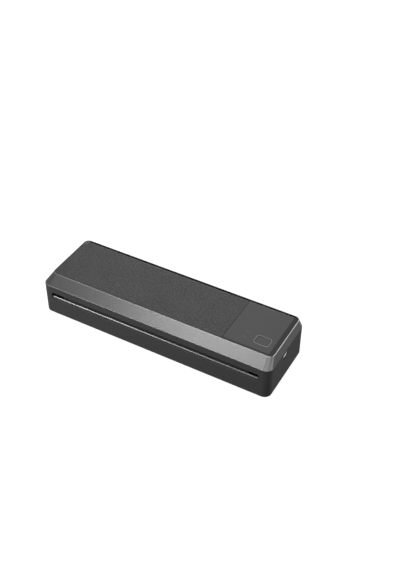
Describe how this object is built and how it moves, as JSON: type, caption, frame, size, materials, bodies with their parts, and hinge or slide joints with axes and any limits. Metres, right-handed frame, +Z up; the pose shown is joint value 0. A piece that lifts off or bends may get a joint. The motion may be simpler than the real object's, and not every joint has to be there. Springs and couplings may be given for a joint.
{
  "type": "portable thermal printer",
  "caption": "Long, low portable thermal printer for A4 sheets, with a hinged paper cover, a plain control panel with a power button, a front feed slot and a USB-C port.",
  "frame": {"origin": "on the table, under the middle of the body, level with the undersides of the feet", "axes": "+X along the printer towards its USB-C end, +Y from the feed slot to the back, +Z up"},
  "size_m": [0.2706, 0.0812, 0.0452],
  "materials": {
    "case_plastic": "fine sparked texture, dark grey",
    "bezel_plastic": "satin, dark grey",
    "cover_plastic": "coarse sparked texture, dark grey",
    "panel_plastic": "smooth satin, dark grey",
    "button_plastic": "smooth satin, dark grey",
    "lens": "smoked, translucent",
    "guide_plastic": "smooth, dark grey",
    "sheet_steel": "zinc plated sheet",
    "ground_steel": "ground and polished",
    "spring_steel": "drawn wire",
    "platen_rubber": "ground silicone rubber",
    "foot_rubber": "moulded, matt",
    "gear_acetal": "natural acetal",
    "motor_can": "drawn steel can",
    "heat_sink": "extruded",
    "ceramic_board": "glazed alumina",
    "driver_cover": "black moulding",
    "socket_plastic": "natural nylon",
    "cell_wrap": "shrink sleeve",
    "board_laminate": "solder mask",
    "chip_plastic": "moulded epoxy",
    "port_shell": "nickel plated",
    "ribbon_film": "laminated film",
    "screw_steel": "black zinc",
    "led_resin": "clear resin"
  },
  "bodies": {
    "case": {"lower_case": "case_plastic", "top_bezel": "bezel_plastic", "hinge_pins": "ground_steel", "control_panel": "panel_plastic", "indicator_lenses": "lens", "tact_switch": "chip_plastic", "button_board": "board_laminate", "indicator_leds": "led_resin", "lower_paper_guide": "guide_plastic", "sensor_board": "board_laminate", "paper_sensor": "chip_plastic", "upper_paper_guide": "guide_plastic", "rear_paper_guide": "guide_plastic", "left_side_plate": "sheet_steel", "right_side_plate": "sheet_steel", "platen_bushings": "gear_acetal", "head_pivot_shaft": "ground_steel", "pressure_bar": "sheet_steel", "idler_post": "ground_steel", "feed_motor": "motor_can", "head_springs": "spring_steel", "battery_cells": "cell_wrap", "main_board": "board_laminate", "board_components": "chip_plastic", "board_connectors": "socket_plastic", "io_board": "board_laminate", "usb_receptacle": "port_shell", "link_header": "chip_plastic", "panel_connector": "socket_plastic", "head_ribbon": "ribbon_film", "panel_ribbon": "ribbon_film", "rubber_feet": "foot_rubber", "case_screws": "screw_steel", "chassis_screws": "screw_steel", "motor_screws": "screw_steel", "board_screws": "screw_steel", "panel_screws": "screw_steel"},
    "cover": {"paper_cover": "cover_plastic"},
    "power_button": {"power_button": "button_plastic", "switch_plunger": "chip_plastic"},
    "platen": {"platen_shaft": "ground_steel", "platen_rubber": "platen_rubber", "platen_clip": "spring_steel", "platen_gear": "gear_acetal"},
    "idler": {"idler_gear": "gear_acetal"},
    "motor_rotor": {"motor_pinion": "gear_acetal", "motor_shaft": "ground_steel"},
    "print_head": {"head_heat_sink": "heat_sink", "head_ceramic": "ceramic_board", "head_driver_cover": "driver_cover", "head_connector": "socket_plastic"}
  },
  "joints": [
    {"name": "cover_hinge", "type": "hinge", "parent": "case", "child": "cover", "pos_m": [-0.027, 0.03455, 0.0417], "axis": [-1, 0, 0], "range_deg": [0, 88]},
    {"name": "button_press", "type": "slide", "parent": "case", "child": "power_button", "axis": [0, 0, -1], "range_m": [0, 0.0005], "stiffness_N_per_m": 300, "springref_m": -0.002},
    {"name": "platen_spin", "type": "hinge", "parent": "case", "child": "platen", "pos_m": [0, 0.004, 0.0202], "axis": [1, 0, 0], "continuous": true},
    {"name": "idler_spin", "type": "hinge", "parent": "case", "child": "idler", "pos_m": [0.118, -0.00797, 0.01932], "axis": [1, 0, 0], "continuous": true},
    {"name": "motor_spin", "type": "hinge", "parent": "case", "child": "motor_rotor", "pos_m": [0.114, -0.019, 0.0146], "axis": [1, 0, 0], "continuous": true},
    {"name": "head_pivot", "type": "hinge", "parent": "case", "child": "print_head", "pos_m": [0, 0.022, 0.0332], "axis": [-1, 0, 0], "range_deg": [0, 3], "stiffness_Nm_per_rad": 2, "springref_deg": -9.74, "deforming": ["head_springs"]}
  ],
  "couplings": [
    {"joint": "idler_spin", "follows": "platen_spin", "ratio": -2},
    {"joint": "motor_spin", "follows": "platen_spin", "ratio": 4}
  ]
}
